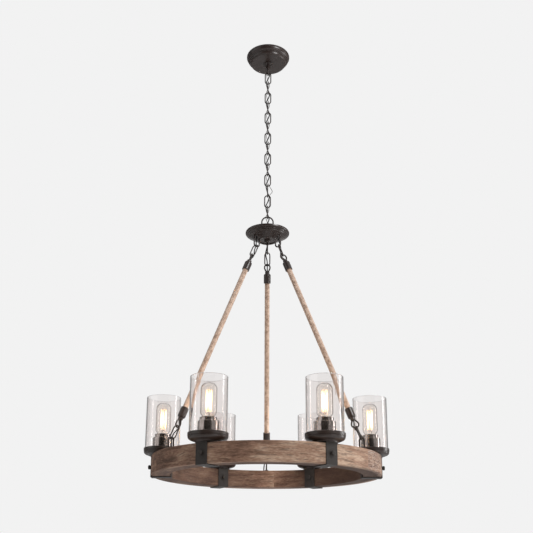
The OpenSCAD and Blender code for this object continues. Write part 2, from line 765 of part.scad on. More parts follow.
module strap_screws() {
    color(bronze) on_lamps() for (side = [-1, 1])
        translate([side * ring_w / 2, 0, screw_z]) rotate([0, side * 90, 0]) knob_screw();
}

// ---- Lamps ----
module lamp_pipes() {
    low = ring_top - pipe_in_wood + 1;
    color(gunmetal) on_lamps() {
        translate([0, 0, low]) tube(pipe_d / 2, pipe_bore / 2, holder_bottom + pipe_in_holder - 1 - low);
        translate([0, 0, cup_floor + cup_wall]) pipe_nut();
    }
}

// Upright rim band, a groove, a slim bead, then an ogee that tapers to the foot
band_h = 8;
dish_outline = concat(
    [[dish_r - 0.8, strap_top + dish_h], [dish_r, strap_top + dish_h - 0.8],
     [dish_r, strap_top + dish_h - band_h], [dish_r - 1.4, strap_top + dish_h - band_h - 0.8],
     [dish_r - 1.4, strap_top + dish_h - band_h - 1.8]],
    arc(dish_r - 1.9, strap_top + dish_h - band_h - 3.2, 1.3, 60, -50, 3),
    arc(dish_r - 10, strap_top + dish_h - band_h - 2, 9.4, -20, -70, 5),
    arc(dish_foot_r + 6, strap_top - 0.4, 6, 60, 110, 3),
    [[dish_foot_r + 1.2, strap_top + 3.4], [dish_foot_r, strap_top + 2], [dish_foot_r, strap_top]]);
dish_hollow = [
    [0, strap_top + dish_wall], [dish_foot_r - dish_wall, strap_top + dish_wall],
    [dish_foot_r + 3, strap_top + 6.6], [glass_r - glass_wall - 1, strap_top + 9.5],
    [glass_r - glass_wall - 1, ledge_z], [glass_r + slip, ledge_z],
    [dish_r - dish_wall, strap_top + 18.5], [dish_r - dish_wall, strap_top + dish_h],
    [0, strap_top + dish_h]];
module dishes() {
    color(bronze) on_lamps() difference() {
        rotate_extrude($fn = 96)
            polygon(concat([[0, strap_top], [0, strap_top + dish_h]], dish_outline));
        rotate_extrude($fn = 96) polygon(dish_hollow);
        translate([0, 0, strap_top - 1]) pipe_hole(dish_wall + 3);
    }
}

cup_outline = concat(
    [[collar_r, cup_top + collar_rise]],
    [[collar_r, cup_top]],
    arc(cup_r - 1.5, cup_top - 1.5, 1.5, 90, 0, 4),
    [[cup_r, cup_floor]]);
cup_hollow = [
    [0, cup_floor + cup_wall], [cup_r - cup_wall, cup_floor + cup_wall],
    [cup_r - cup_wall, cup_top - cup_wall - 0.6], [collar_r - cup_wall, cup_top - cup_wall],
    [collar_r - cup_wall, cup_top + collar_rise + 1],
    [0, cup_top + collar_rise + 1]];
module socket_cups() {
    color(gunmetal) on_lamps() difference() {
        rotate_extrude($fn = 96)
            polygon(concat([[0, cup_floor], [0, cup_top + collar_rise]], cup_outline));
        rotate_extrude($fn = 96) polygon(cup_hollow);
        translate([0, 0, cup_floor - 1]) pipe_hole(cup_wall + 3);
    }
}

module lampholders() {
    color(porcelain) on_lamps() difference() {
        rotate_extrude() polygon([
            [0, holder_bottom], [holder_r - 6, holder_bottom], [holder_r - 6, holder_bottom + 8],
            [holder_r, holder_bottom + 12], [holder_r, holder_top], [0, holder_top]]);
        translate([0, 0, holder_well]) cylinder(r = cap_r + 0.4, h = holder_top - holder_well + 1);
        translate([0, 0, holder_bottom - 1]) pipe_thread(pipe_in_holder + 1);
    }
}

// Screw cap: a shell with rolled threads, closed at the bottom by a contact
module bulb_caps() {
    wall = 0.6;
    turns = 5;
    rise = (cap_h - 6) / turns;
    threads = [for (i = [0:turns - 1], s = [0:1])
        [cap_r - (s == 0 ? 0.6 : 0), cap_bottom + 4 + i * rise + (s + 0.5) * rise / 2]];
    color(brass) on_lamps() difference() {
        rotate_extrude($fn = 48) polygon(concat(
            [[0, cap_bottom - 2], [4, cap_bottom - 2], [4.6, cap_bottom], [cap_r - 1.4, cap_bottom + 2]],
            threads,
            [[cap_r, cap_top - 1.5], [cap_r, cap_top], [0, cap_top]]));
        translate([0, 0, cap_bottom + 4]) cylinder(r = cap_r - 0.6 - wall, h = cap_h, $fn = 48);
    }
}

// Glass tube with a narrow neck inside the cap and a domed end
neck = cap_r - 1.4;
bulb_flare = 40;
function bulb_outline(wall) = concat(
    [[neck - wall, cap_top - 8], [neck - wall, cap_top + 1]],
    arc(neck + 6, cap_top + 1, 6 + wall, 180, 180 - bulb_flare, 4),
    arc(bulb_r - 8, cap_top + 20, 8 - wall, -bulb_flare, 0, 4),
    arc(bulb_r - bulb_dome, bulb_top - bulb_dome, bulb_dome - wall, 0, 90, 10),
    bulb_r > bulb_dome ? [[0, bulb_top - wall]] : []);
bulb_dome = 17;
module bulb_glasses() {
    color(clear) on_lamps() rotate_extrude($fn = 64)
        polygon(concat(bulb_outline(0), reversed(bulb_outline(bulb_wall))));
}

// Flare, stem and a thin rod that carries the filament's supports
stem_r = 4;
stem_h = 18;
rod_r = 1.3;
filament_low = cap_top + stem_h + 8;
filament_high = bulb_top - 22;
filament_ring_r = 7.5;
filament_count = 8;
filament_wire = 0.9;
module bulb_stems() {
    color(clear) on_lamps() {
        translate([0, 0, cap_top - stem_h / 3])
            cylinder(r1 = neck - bulb_wall - 0.4, r2 = stem_r, h = 2 * stem_h / 3, $fn = 48);
        translate([0, 0, cap_top + stem_h / 3]) cylinder(r = stem_r, h = 2 * stem_h / 3, $fn = 48);
        translate([0, 0, cap_top + stem_h])
            cylinder(r = rod_r, h = filament_high + 3 - cap_top - stem_h, $fn = 24);
    }
}

// One wire bent up and down in a ring of hairpins
module bulb_filaments() {
    step = 360 / filament_count;
    half = filament_ring_r * sin(step / 2);
    color(glow) on_lamps() for (i = [0:filament_count - 1]) {
        rotate([0, 0, i * step]) translate([filament_ring_r, 0, filament_low - weld])
            cylinder(d = filament_wire + weld, h = filament_high - filament_low + 2 * weld, $fn = 32);
        if (i < filament_count - 1)
            rotate([0, 0, (i + 0.5) * step])
                translate([filament_ring_r * cos(step / 2), 0, i % 2 == 0 ? filament_high : filament_low])
                    rotate([0, 0, 90]) bend(half, filament_wire, i % 2 == 0 ? 1 : -1);
    }
}

// A plain glass cylinder with a fire-polished top edge
module glass_shade(i) {
    rotate([0, 0, (i - 1) * 60]) translate([ring_mid_r, 0, 0]) color(clear) rotate_extrude($fn = 120)
        polygon(concat(
            [[glass_r - glass_wall, glass_bottom], [glass_r, glass_bottom]],
            arc(glass_r - glass_wall / 2, glass_top - glass_wall / 2, glass_wall / 2, 0, 180, 6)));
}

crossbar();
ground_screw();
ceiling_pipe();
ceiling_pipe_nuts();
canopy();
canopy_collar();
canopy_loop();
supply_cord();
ground_wire();
for (k = [1:link_count]) link(k);
hub_bow();
hub_plate();
hub_cover();
hub_pipe();
hub_nuts();
hub_finial();
hub_eyes();
leg_links();
rope_eyes();
ferrules();
for (i = [0:2]) rope(i);
leg_wires();
ring_eyes();
wheel_ring();
groove_strip();
ring_harness();
straps();
strap_screws();
lamp_pipes();
dishes();
socket_cups();
lampholders();
bulb_caps();
bulb_stems();
bulb_filaments();
bulb_glasses();
for (i = [1:6]) glass_shade(i);
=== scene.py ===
# %% [markdown]
# # A wagon wheel chandelier
#
# The solid model already holds every rigid piece of this light at its real size, in metres, with the
# origin in the ceiling plane. This notebook gives the pieces their finishes and makes what solids are poor
# at: cords that wind through a chain, and ropes whose turns stand out as ridges. Each step first says what
# the thing is, then how it could be made, and why this way was chosen.

# %% Load the solid model
import json
import math

import bpy
import numpy as np
from mathutils import Matrix, Vector

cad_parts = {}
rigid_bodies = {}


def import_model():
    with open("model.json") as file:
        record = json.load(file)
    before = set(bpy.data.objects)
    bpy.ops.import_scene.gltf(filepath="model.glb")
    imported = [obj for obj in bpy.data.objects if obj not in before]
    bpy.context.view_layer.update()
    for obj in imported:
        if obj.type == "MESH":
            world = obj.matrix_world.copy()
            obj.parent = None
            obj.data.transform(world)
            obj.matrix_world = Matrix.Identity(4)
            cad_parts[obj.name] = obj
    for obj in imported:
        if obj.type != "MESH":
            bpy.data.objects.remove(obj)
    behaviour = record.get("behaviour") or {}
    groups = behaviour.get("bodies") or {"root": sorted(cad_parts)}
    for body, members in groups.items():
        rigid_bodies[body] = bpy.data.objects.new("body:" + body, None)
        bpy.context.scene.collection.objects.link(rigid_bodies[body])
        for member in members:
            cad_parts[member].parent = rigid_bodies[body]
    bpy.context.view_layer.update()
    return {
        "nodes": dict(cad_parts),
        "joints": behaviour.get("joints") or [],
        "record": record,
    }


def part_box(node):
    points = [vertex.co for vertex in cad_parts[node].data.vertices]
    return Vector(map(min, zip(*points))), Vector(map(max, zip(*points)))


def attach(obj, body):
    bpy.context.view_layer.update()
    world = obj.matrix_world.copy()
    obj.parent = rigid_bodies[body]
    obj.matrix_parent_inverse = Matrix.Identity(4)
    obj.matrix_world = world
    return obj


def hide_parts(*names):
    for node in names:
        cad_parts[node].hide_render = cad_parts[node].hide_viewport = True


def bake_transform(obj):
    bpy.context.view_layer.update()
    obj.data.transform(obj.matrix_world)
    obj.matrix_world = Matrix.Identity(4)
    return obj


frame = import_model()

nodes = frame["nodes"]

# %% [markdown]
# ## The camera
#
# A picture's perspective is fixed by where the camera stands, and its framing by the lens and the crop.
# Fitting a pinhole camera to about forty edges of the light put it 2.28 m in front of the chain and 1.67 m
# below the ceiling, tilted up by 15.7 degrees. The crop isn't centred on the lens, and the two shift
# values carry that. Turning the camera further instead would make the upright lines lean.

# %% Camera
picture_px = 533
focal_px = 787.66
lens_axis_px = (266.94, 352.75)
camera_place = Vector((0, -2.2802, -1.6708))
camera_pitch = math.radians(15.70)
camera_roll = 0.0040

lens = bpy.data.cameras.new("portrait_lens")
lens.sensor_width = 36
lens.lens = focal_px * lens.sensor_width / picture_px
lens.shift_x = (picture_px / 2 - lens_axis_px[0]) / picture_px
lens.shift_y = (lens_axis_px[1] - picture_px / 2) / picture_px
camera = bpy.data.objects.new("portrait_camera", lens)
camera.matrix_world = (
    Matrix.Translation(camera_place)
    @ Matrix.Rotation(math.pi / 2 + camera_pitch, 4, "X")
    @ Matrix.Rotation(camera_roll, 4, "Z"))
bpy.context.scene.collection.objects.link(camera)
bpy.context.scene.camera = camera
print("lens", round(lens.lens, 1), "mm, shift", round(lens.shift_x, 4), round(lens.shift_y, 4))

# %% [markdown]
# ## Tubes along a route
#
# A cord is a round section carried along a line. A curve object with a bevel would show the same thing, but
# a mesh can be cut where one moving body ends and the next begins, and it exports as it is. The section must
# not spin as it travels, so each ring's direction is the last one, turned as little as the line turns.

# %% Routes and tubes
def smooth_route(points, steps):
    """Points on the cubic through the given ones, with steps of them between each two."""
    p = np.array(points, float)
    ends = np.vstack([p[:1], p, p[-1:]])
    route = []
    for a, b, c, d in zip(ends, ends[1:], ends[2:], ends[3:]):
        for t in np.arange(steps) / steps:
            route.append(0.5 * (2 * b + (c - a) * t + (2 * a - 5 * b + 4 * c - d) * t ** 2
                                + (3 * b - a - 3 * c + d) * t ** 3))
    return np.array(route + [p[-1]])


def steady_sides(route):
    """For each point of a route, two directions across it that don't spin as the route bends."""
    heading = np.gradient(route, axis=0)
    heading /= np.linalg.norm(heading, axis=1)[:, None]
    side = np.cross(heading[0], (0.0, 1.0, 0.0))
    pairs = []
    for h in heading:
        side = side - h * (side @ h)
        side /= np.linalg.norm(side)
        pairs.append((side, np.cross(h, side)))
    return pairs


def skin(name, rings):
    """A mesh over rings of points, each ring with as many points as the next, and flat caps."""
    rings = np.array(rings, float)
    count, sides = rings.shape[:2]
    faces = [
        (i * sides + s, i * sides + (s + 1) % sides, (i + 1) * sides + (s + 1) % sides, (i + 1) * sides + s)
        for i in range(count - 1) for s in range(sides)]
    faces.append(tuple(range(sides - 1, -1, -1)))
    faces.append(tuple((count - 1) * sides + s for s in range(sides)))
    mesh = bpy.data.meshes.new(name)
    mesh.from_pydata([tuple(v) for v in rings.reshape(-1, 3)], [], faces)
    mesh.validate()
    mesh.shade_smooth()
    piece = bpy.data.objects.new(name, mesh)
    bpy.context.scene.collection.objects.link(piece)
    return piece


def tube(name, route, radius, sides):
    """A round tube along a route."""
    turns = np.linspace(0, 2 * math.pi, sides, endpoint=False)
    rings = [
        [point + radius * (math.cos(a) * u - math.sin(a) * v) for a in turns]
        for point, (u, v) in zip(route, steady_sides(route))]
    return skin(name, rings)


# %% [markdown]
# ## The woven cords
#
# The mains cord and the ground wire run from the ceiling to the hub through all the links: past one link on
# one side and past the next on the other. When the chain swings, each link turns on the one above it, so
# the cords are cut at the middle of every link, and each length crosses just one joint. The lengths are
# not fastened to the links here.

# %% Cord points, in metres
mm = 0.001
supply_points = np.array([
    [-1.2, 0, -2], [-1.2, 0, -24], [-1.2, 0, -44], [0.5, 3, -53],
    [5, 5, -62.5], [1.5, -1.5, -81], [-5, -5, -100], [-1.5, 1.5, -119],
    [5, 5, -137.5], [1.5, -1.5, -156], [-5, -5, -175], [-1.5, 1.5, -194],
    [5, 5, -212.5], [1.5, -1.5, -231], [-5, -5, -250], [-1.5, 1.5, -269],
    [5, 5, -287.5], [1.5, -1.5, -306], [-5, -5, -325], [-1.5, 1.5, -344],
    [5, 5, -362.5], [1.5, -1.5, -381], [-5, -5, -400], [-1.5, 1.5, -419],
    [5, 5, -437.5], [1.5, -1.5, -456], [-5, -5, -475], [-1.5, 1.5, -494],
    [5, 5, -512.5], [1.5, -1.5, -531], [-5, -5, -550], [-1.5, 1.5, -569],
    [5, 5, -587.5], [1, 3, -604], [-1.2, 0, -620], [-1.2, 0, -636], [-1.2, 0, -650]]) * mm
ground_points = np.array([
    [2.1, 0, -2], [2.1, 0, -24], [2.1, 0, -44], [-0.5, -3.5, -53],
    [-5, -5, -62.5], [-2.5, 2.5, -81], [5, 5, -100], [2.5, -2.5, -119],
    [-5, -5, -137.5], [-2.5, 2.5, -156], [5, 5, -175], [2.5, -2.5, -194],
    [-5, -5, -212.5], [-2.5, 2.5, -231], [5, 5, -250], [2.5, -2.5, -269],
    [-5, -5, -287.5], [-2.5, 2.5, -306], [5, 5, -325], [2.5, -2.5, -344],
    [-5, -5, -362.5], [-2.5, 2.5, -381], [5, 5, -400], [2.5, -2.5, -419],
    [-5, -5, -437.5], [-2.5, 2.5, -456], [6, 5, -475], [15, 3, -494],
    [6, -5, -512.5], [5.5, 0, -531], [5, 5, -550], [2.5, -2.5, -569],
    [-5, -5, -587.5], [-1, -3, -604], [2.1, 0, -620], [2.1, 0, -636], [2.1, 0, -650]]) * mm
cord_radius = 1.8 * mm
ground_radius = 0.8 * mm

# %% Cut at the middle of each link and bent over its joint
swings = [(j["parent"], j["child"], j["pos_m"][2]) for j in frame["joints"]]
pivots = [height for parent, child, height in swings]
cuts = [0.0] + [(a + b) / 2 for a, b in zip(pivots, pivots[1:])] + [-1.0]
route_steps = 8
cord_sides = 12


def between(route, high, low):
    """The stretch of a falling route between two heights, with its ends put exactly there."""
    heights = route[:, 2]
    first, last = min(high, heights[0]), max(low, heights[-1])
    inside = route[(heights < first - 1e-4) & (heights > last + 1e-4)]
    ends = [[np.interp(-z, -heights, route[:, axis]) for axis in range(3)] for z in (first, last)]
    return np.vstack([ends[0], inside, ends[1]])


def woven(name, node, points, radius):
    """A cord in fifteen lengths, each bent over one of the chain's joints."""
    route = smooth_route(points, route_steps)
    lengths = []
    for number, (parent, child, height) in enumerate(swings, 1):
        stretch = between(route, cuts[number - 1], cuts[number])
        piece = tube(f"{name}_{number:02d}", stretch, radius, cord_sides)
        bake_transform(piece)
        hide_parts(node)
        lengths.append(piece)
    print(name, "in", len(lengths), "lengths")
    return lengths


supply_lengths = woven("supply_cord_length", "supply_cord", supply_points, cord_radius)
ground_lengths = woven("ground_wire_length", "ground_wire", ground_points, ground_radius)

# %% [markdown]
# ## Studio
#
# The light hangs in front of plain pale paper. A sweep that curves from floor to wall would hide the light
# from behind, so there is only a floor, a storey below the ceiling, and an even pale surround. Soft boxes on
# the right draw the bright patches on the canopy, the hub and the dishes. An upright glass wall, seen from
# below, mirrors a band about 12 degrees above it, so the wide boxes keep out of the heights between 0.55 and
# 0.85 m below the ceiling, where they would fill the shades with white. Only the narrow strip reaches them,
# and draws a thin line on each shade. Dark metal and glass show what is mirrored in them, and a real studio
# is dark where the camera stands: four cards stand around, darkest in front. The gap at the left front draws
# the pale streak on each cup. Only light that has met a surface sees the cards, never the camera.

# %% Floor, surround and soft boxes
storey = 2.4
bpy.ops.mesh.primitive_plane_add(size=40, location=(0, 0, -storey))
floor = bpy.context.active_object
floor.name = "floor"

surround = bpy.data.worlds.new("surround")
surround.use_nodes = True
surround.node_tree.nodes["Background"].inputs["Color"].default_value = (0.888, 0.888, 0.888, 1)
bpy.context.scene.world = surround
bpy.context.scene.view_settings.view_transform = "Standard"


def soft_box(name, place, target, width, height, watts):
    """A rectangular lamp that faces a target."""
    lamp = bpy.data.lights.new(name, "AREA")
    lamp.shape = "RECTANGLE"
    lamp.size, lamp.size_y = width, height
    lamp.energy = watts
    box = bpy.data.objects.new(name, lamp)
    box.location = place
    box.rotation_euler = (Vector(target) - Vector(place)).to_track_quat("-Z", "Y").to_euler()
    bpy.context.scene.collection.objects.link(box)
    return box


soft_box("upper_box", (1.70, -1.80, 0.50), (0, 0, -0.2), 0.50, 0.45, 46)
soft_box("lower_box", (1.75, -1.75, -1.75), (0, 0, -1.2), 1.0, 0.6, 10)
soft_box("side_box", (2.6, 0.4, -1.95), (0, 0, -1.3), 0.9, 0.6, 10)
soft_box("rim_box", (2.4, 0.5, -1.14), (0, 0, -0.65), 0.26, 0.26, 8)
soft_box("right_strip", (2.2, 0.2, -0.75), (0, 0, -1.2), 0.35, 0.8, 4.5)


def dark_card(name, first, last, low, high, shade, distance=4.5):
    """A dark card bent round the light, from one bearing to another, that the camera doesn't see."""
    bearings = np.radians(np.linspace(first, last, 25))
    around = [(distance * math.sin(b), -distance * math.cos(b)) for b in bearings]
    corners = [(x, y, z) for x, y in around for z in (low, high)]
    faces = [(2 * i, 2 * i + 2, 2 * i + 3, 2 * i + 1) for i in range(len(around) - 1)]
    mesh = bpy.data.meshes.new(name)
    mesh.from_pydata(corners, [], faces)
    card = bpy.data.objects.new(name, mesh)
    bpy.context.scene.collection.objects.link(card)
    card.visible_camera = False
    card["shade"] = shade
    return card


dark_cards = [
    dark_card("front_card", -42, 36, -storey, 3.5, 0.03),
    dark_card("right_card", 36, 85, -storey, 3.5, 0.50),
    dark_card("rear_card", 110, 165, -storey, 3.5, 0.42),
    dark_card("left_card", -165, -95, -storey, 3.5, 0.34)]

# %% [markdown]
# ## Finishes as sums
#
# A finish is a small network of nodes, and most of them only add, multiply or compare. Written out one by
# one they are hard to read. The class below wraps a node's output, so that `0.4 + 0.2 * speckle` is enough
# to add both Math nodes, and any other kind of node comes from its one method.

# %% A wrapper for node outputs
class Signal:
    """An output of a shader node, which takes part in sums like a number."""

    def __init__(self, tree, socket=None):
        self.tree = tree
        self.socket = socket

    def node(self, kind, settings=None, inputs=None, output=0):
        """Adds a node, sets it up, fills its inputs with values or signals, and returns one output."""
        made = self.tree.nodes.new(kind)
        for name, value in (settings or {}).items():
            if name == "stops":
                while len(made.color_ramp.elements) < len(value):
                    made.color_ramp.elements.new(0.5)
                for element, (place, colour) in zip(made.color_ramp.elements, value):
                    element.position = place
                    element.color = (*colour, 1)
            else:
                setattr(made, name, value)
        for name, value in (inputs or {}).items():
            if isinstance(value, Signal):
                self.tree.links.new(value.socket, made.inputs[name])
            else:
                made.inputs[name].default_value = value
        return Signal(self.tree, made.outputs[output])

    def maths(self, operation, *values):
        return self.node("ShaderNodeMath", {"operation": operation}, dict(enumerate(values)))

    def __add__(self, other):
        return self.maths("ADD", self, other)

    def __radd__(self, other):
        return self.maths("ADD", other, self)

    def __sub__(self, other):
        return self.maths("SUBTRACT", self, other)

    def __rsub__(self, other):
        return self.maths("SUBTRACT", other, self)

    def __mul__(self, other):
        return self.maths("MULTIPLY", self, other)

    def __rmul__(self, other):
        return self.maths("MULTIPLY", other, self)

    def __truediv__(self, other):
        return self.maths("DIVIDE", self, other)

    def __pow__(self, other):
        return self.maths("POWER", self, other)


# %% [markdown]
# Three more helpers cover what every finish needs: a new material with its shader, noise at a real size,
# and a blend of two colours. Noise takes the size of its lumps in metres, because the node's own scale
# counts lumps in each metre.

# %% Materials, noise and blends
class Finish:
    """A new material with one Principled shader, and where each point of the piece lies."""

    def __init__(self, name, **settings):
        self.material = bpy.data.materials.new(name)
        self.material.use_nodes = True
        self.tree = self.material.node_tree
        self.shader = self.tree.nodes["Principled BSDF"]
        self.start = Signal(self.tree)
        self.place = self.start.node("ShaderNodeTexCoord", output="Object")
        for socket, value in settings.items():
            self.set(socket.replace("_", " ").title().replace("Ior", "IOR"), value)

    def set(self, socket, value):
        """Sets an input of the shader to a number, a colour or a signal."""
        if isinstance(value, Signal):
            self.tree.links.new(value.socket, self.shader.inputs[socket])
        elif isinstance(value, tuple) and len(value) == 3:
            self.shader.inputs[socket].default_value = (*value, 1)
        else:
            self.shader.inputs[socket].default_value = value

    def noise(self, lump, detail=3.0, place=None, rough=0.5):
        """Noise from 0 to 1 with lumps of the given size in metres."""
        inputs = {"Vector": place or self.place, "Scale": 1 / lump, "Detail": detail, "Roughness": rough}
        return self.start.node("ShaderNodeTexNoise", inputs=inputs)

    def ramp(self, signal, *stops):
        """Colours along a signal."""
        return self.start.node("ShaderNodeValToRGB", {"stops": stops}, {"Fac": signal})

    def steps(self, signal, low, high):
        """0 below low and 1 above high, with a soft change between."""
        settings = {"interpolation_type": "SMOOTHSTEP"}
        return self.start.node(
            "ShaderNodeMapRange", settings, {"Value": signal, "From Min": low, "From Max": high})

    def mix(self, amount, first, second):
        """The first colour where the amount is 0 and the second where it is 1."""
        made = self.tree.nodes.new("ShaderNodeMix")
        made.data_type = "RGBA"
        for socket, value in ((made.inputs[0], amount), (made.inputs[6], first), (made.inputs[7], second)):
            if isinstance(value, Signal):
                self.tree.links.new(value.socket, socket)
            else:
                socket.default_value = (*value, 1) if isinstance(value, tuple) else value
        return Signal(self.tree, made.outputs[2])

    def bump(self, height, depth, strength=1.0):
        """Lets a height signal from 0 to 1 tilt the surface, as deep as the given metres."""
        normal = self.start.node(
            "ShaderNodeBump", inputs={"Height": height, "Distance": depth, "Strength": strength})
        self.set("Normal", normal)


def srgb(red, green, blue):
    """A colour given as 0 to 255 on a screen, as the light values that shaders take."""
    return tuple(
        c / 12.92 / 255 if c <= 10 else ((c / 255 + 0.055) / 1.055) ** 2.4 for c in (red, green, blue))


# %% [markdown]
# ## Oil-rubbed bronze
#
# Canopy, chain, hub, eyes, ferrules and dishes are steel with a dark brown satin coat. It reads almost
# black, and only its highlights show the form. A metallic shader would mirror the pale surround and turn
# grey, so the coat is a paint: a dark base with a clear reflection, a little cloudy and not quite even.

# %% Bronze
def bronze_finish():
    finish = Finish("bronze", metallic=0.0)
    cloud = finish.noise(0.03, 2)
    finish.set("Base Color", finish.mix(cloud, srgb(42, 32, 29), srgb(54, 43, 39)))
    finish.set("Roughness", 0.29 + 0.08 * cloud)
    finish.set("Specular IOR Level", 0.5)
    finish.bump(finish.noise(0.012, 1), 0.00002, 0.2)
    return finish.material


bronze = bronze_finish()
print("made", bronze.name)


# %% [markdown]
# The straps are forged flat iron under a flat black coat, so they scatter what the bronze mirrors. Their
# faces are slightly uneven from the hammer, and the coat is a little worn where hands have been.

# %% Strap iron
def strap_finish():
    finish = Finish("strap_iron", metallic=0.0)
    hammer = finish.noise(0.012, 2)
    grit = finish.noise(0.0009, 3)
    finish.set("Base Color", finish.mix(finish.steps(grit, 0.35, 0.75), srgb(38, 33, 30), srgb(56, 49, 45)))
    finish.set("Roughness", 0.5 + 0.2 * grit)
    finish.set("Specular IOR Level", 0.4)
    finish.bump(hammer + 0.15 * grit, 0.0006, 0.35)
    return finish.material


strap_iron = strap_finish()
print("made", strap_iron.name)


# %% [markdown]
# ## Bare metals
#
# Zinc-plated fixings, polished gunmetal cups and rolled brass caps are all one recipe with other numbers: a
# metal, its colour, and fine streaks that run round the turned pieces, where the lathe or the roller left
# them. The streaks follow the height only, so the noise is squeezed flat in the other two directions.

# %% Zinc, gunmetal and brass
def bare_metal(name, colour, dull, low, high, streak=0.0004):
    finish = Finish(name, metallic=1.0)
    lathe = finish.start.node(
        "ShaderNodeMapping", inputs={"Vector": finish.place, "Scale": (0.02, 0.02, 1.0)})
    lines = finish.noise(streak, 4, lathe)
    stain = finish.noise(0.008, 3)
    finish.set("Base Color", finish.mix(finish.steps(stain, 0.3, 0.8), colour, dull))
    finish.set("Roughness", low + (high - low) * lines + 0.06 * stain)
    finish.bump(lines, 0.00004, 0.2)
    return finish.material


zinc = bare_metal("fixing_steel", srgb(176, 174, 168), srgb(138, 136, 130), 0.30, 0.45)
gunmetal = bare_metal("gunmetal", srgb(200, 192, 188), srgb(166, 158, 154), 0.08, 0.16)
brass = bare_metal("cap_brass", srgb(205, 175, 112), srgb(160, 124, 70), 0.22, 0.36)
green_screw = bare_metal("ground_green", srgb(46, 130, 66), srgb(30, 92, 46), 0.28, 0.40)
copper = bare_metal("ground_copper", srgb(56, 43, 35), srgb(40, 31, 26), 0.42, 0.55)
print("made", [metal.name for metal in (zinc, gunmetal, brass, green_screw, copper)])


# %% [markdown]
# ## Cord sheath and porcelain
#
# The mains cord has a braided black sleeve. Two families of diagonal stripes that cross make a braid, and
# where a stripe of one family is on top, the other dips. The lampholders are glazed porcelain, an even
# white with faint clouds under a clear gloss.

# %% Sheath and porcelain
def sheath_finish():
    finish = Finish("black_cord", metallic=0.0)
    pitch = 0.0022
    waves = [
        finish.start.node(
            "ShaderNodeTexWave", {"bands_direction": "DIAGONAL"},
            {"Vector": finish.start.node(
                "ShaderNodeMapping", inputs={"Vector": finish.place, "Scale": (side, side, 1)}),
             "Scale": 0.16 / pitch}, "Fac")
        for side in (1, -1)]
    braid = finish.start.maths("MAXIMUM", *waves)
    finish.set("Base Color", finish.mix(braid, srgb(14, 13, 13), srgb(34, 32, 31)))
    finish.set("Roughness", 0.7 - 0.15 * braid)
    finish.bump(braid, 0.0003, 0.5)
    return finish.material


def porcelain_finish():
    finish = Finish("porcelain", metallic=0.0)
    cloud = finish.noise(0.01, 3)
    finish.set("Base Color", finish.mix(cloud, srgb(236, 231, 220), srgb(222, 214, 198)))
    finish.set("Roughness", 0.12 + 0.1 * cloud)
    return finish.material


sheath = sheath_finish()
porcelain = porcelain_finish()
print("made", sheath.name, "and", porcelain.name)


# %% [markdown]
# ## The wood
#
# The ring is glued up from three long curved staves that meet below the three ropes, stained walnut brown
# and brushed. Grain runs along a stave. The node coordinates are straight, so the first step turns them
# into a run round the ring, a depth and a height. The arctangent jumps at the back of the ring, so what lies
# past the third seam is taken a full turn lower, and the jump falls on the seam. Noise that is stretched
# along the run gives grain: long soft bands for the figure, dashes and flecks for the brushed lines, and
# fine pores. A few knots push the grain aside and darken. Each stave starts from another part of the noise.
#
# The outside is painted lighter at the front right, a painted sheen where the soft boxes on the right graze
# it, and painted darker at the left, a painted shade where it turns away from them. The right stave's
# outside is greyish in patches. All that lies inward of the outer face is painted darker, a painted shade
# that is deepest on the right, except at the back.

# %% Wood grain, with painted sheen and shade
ring_middle = 0.303
stave_span = math.radians(120)
first_seam = math.radians(-65)
last_seam = first_seam + 2 * stave_span


